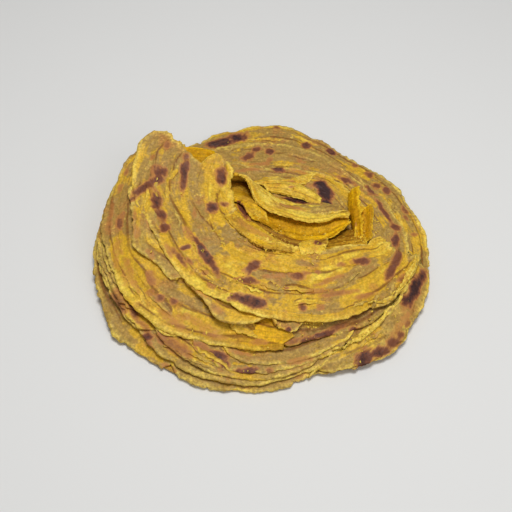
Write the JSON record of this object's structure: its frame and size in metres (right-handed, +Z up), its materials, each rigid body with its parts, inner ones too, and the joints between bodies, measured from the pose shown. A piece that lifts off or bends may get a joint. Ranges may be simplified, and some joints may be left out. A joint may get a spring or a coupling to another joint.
{
  "type": "lachha naan",
  "caption": "Round flaky layered flatbread, its coiled upper leaves lifted open in a horseshoe round the eye, lying flat on its base.",
  "frame": {"origin": "middle of the round, on the flat face that it lies on", "axes": "+Z up out of the bread, -Y towards the low front, so that the raised crest is at the left and back"},
  "size_m": [0.2042, 0.2038, 0.045],
  "materials": {
    "crust": "soft flaky baked dough, turmeric yellow with tan and brown toasted spots, faint oily sheen"
  },
  "bodies": {
    "root": {"naan": "crust"}
  },
  "joints": []
}
